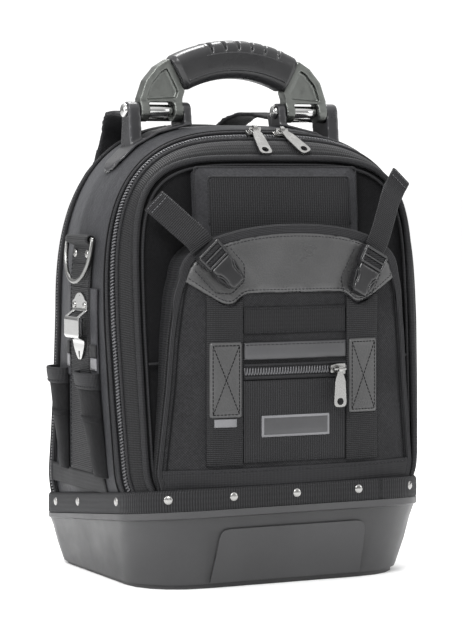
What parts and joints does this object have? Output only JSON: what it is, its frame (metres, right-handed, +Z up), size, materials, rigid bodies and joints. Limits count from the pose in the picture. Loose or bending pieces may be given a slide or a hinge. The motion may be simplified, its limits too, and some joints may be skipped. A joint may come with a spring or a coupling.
{
  "type": "tool backpack",
  "caption": "Upright black tool backpack with a moulded base, round-shouldered zipped body, front tool pocket with strapped buckles, grey swing handle and side tool sleeves.",
  "frame": {"origin": "on the floor under the carry handle's pins, at the middle of the bag's width", "axes": "+X towards the bag's right side as the picture shows it, +Y from the front pocket towards the back panel, +Z up"},
  "size_m": [0.3598, 0.3267, 0.5338],
  "materials": {
    "rubber_base": "moulded matte dark grey",
    "grip_rubber": "soft black, fine satin",
    "webbing": "ribbed black webbing",
    "nylon": "woven black nylon",
    "zip_tape": "woven tape with a nylon coil",
    "flap_cloth": "smooth grey cloth",
    "patch_leather": "smooth dark grey, stitched",
    "label_cloth": "woven label, bare",
    "hard_plastic": "moulded dark grey, half gloss",
    "anodised": "bead-blasted grey-green anodised",
    "polished_steel": "polished",
    "nickel": "nickel plated"
  },
  "bodies": {
    "bag": {"base_tub": "rubber_base", "base_belt": "webbing", "front_bay": "nylon", "front_zip": "zip_tape", "centre_frame": "nylon", "rear_zip": "zip_tape", "rear_bay": "nylon", "front_pocket": "nylon", "top_patch": "patch_leather", "meter_box": "nylon", "zip_flap": "flap_cloth", "pocket_zip": "zip_tape", "label": "label_cloth", "pocket_slider": "nickel", "rivet_front_1": "nickel", "rivet_front_2": "nickel", "rivet_front_3": "nickel", "rivet_front_4": "nickel", "rivet_front_5": "nickel", "front_webbing_left": "webbing", "strap_patch_left": "patch_leather", "buckle_left": "hard_plastic", "buckle_strap_left": "webbing", "bracket_left": "hard_plastic", "hinge_pin_left": "nickel", "strap_rod_left": "nickel", "side_webbing_left": "webbing", "sleeve_front_left": "nylon", "sleeve_rear_left": "nylon", "shoulder_strap_left": "nylon", "rivet_left_1": "nickel", "rivet_left_2": "nickel", "rivet_left_3": "nickel", "zip_slider_left": "nickel", "front_webbing_right": "webbing", "strap_patch_right": "patch_leather", "buckle_right": "hard_plastic", "buckle_strap_right": "webbing", "bracket_right": "hard_plastic", "hinge_pin_right": "nickel", "strap_rod_right": "nickel", "side_webbing_right": "webbing", "sleeve_front_right": "nylon", "sleeve_rear_right": "nylon", "shoulder_strap_right": "nylon", "rivet_right_1": "nickel", "rivet_right_2": "nickel", "rivet_right_3": "nickel", "zip_slider_right": "nickel", "tape_clip": "polished_steel", "back_panel": "nylon"},
    "handle": {"handle_frame": "anodised", "handle_grip": "grip_rubber", "barrel_left": "nickel", "barrel_right": "nickel"},
    "ring_left": {"d_ring_left": "nickel"},
    "ring_right": {"d_ring_right": "nickel"},
    "pocket_pull": {"pocket_pull": "nickel"},
    "zip_pull_left": {"zip_pull_left": "nickel"},
    "zip_pull_right": {"zip_pull_right": "nickel"}
  },
  "joints": [
    {"name": "handle_swing", "type": "hinge", "parent": "bag", "child": "handle", "pos_m": [0, 0, 0.463], "axis": [1, 0, 0], "range_deg": [-65, 85]},
    {"name": "ring_left_swing", "type": "hinge", "parent": "bag", "child": "ring_left", "pos_m": [-0.16765, -0.003, 0.336], "axis": [0, 1, 0], "range_deg": [0, 150]},
    {"name": "ring_right_swing", "type": "hinge", "parent": "bag", "child": "ring_right", "pos_m": [0.16765, -0.003, 0.336], "axis": [0, -1, 0], "range_deg": [0, 150]},
    {"name": "pocket_pull_swing", "type": "hinge", "parent": "bag", "child": "pocket_pull", "pos_m": [0.044, -0.15012, 0.211], "axis": [-1, 0, 0], "range_deg": [0, 150]},
    {"name": "zip_pull_left_swing", "type": "hinge", "parent": "bag", "child": "zip_pull_left", "pos_m": [-0.008, -0.06788, 0.44512], "axis": [-1, 0, 0], "range_deg": [0, 110]},
    {"name": "zip_pull_right_swing", "type": "hinge", "parent": "bag", "child": "zip_pull_right", "pos_m": [0.022, -0.06788, 0.444], "axis": [-1, 0, 0], "range_deg": [0, 110]}
  ]
}
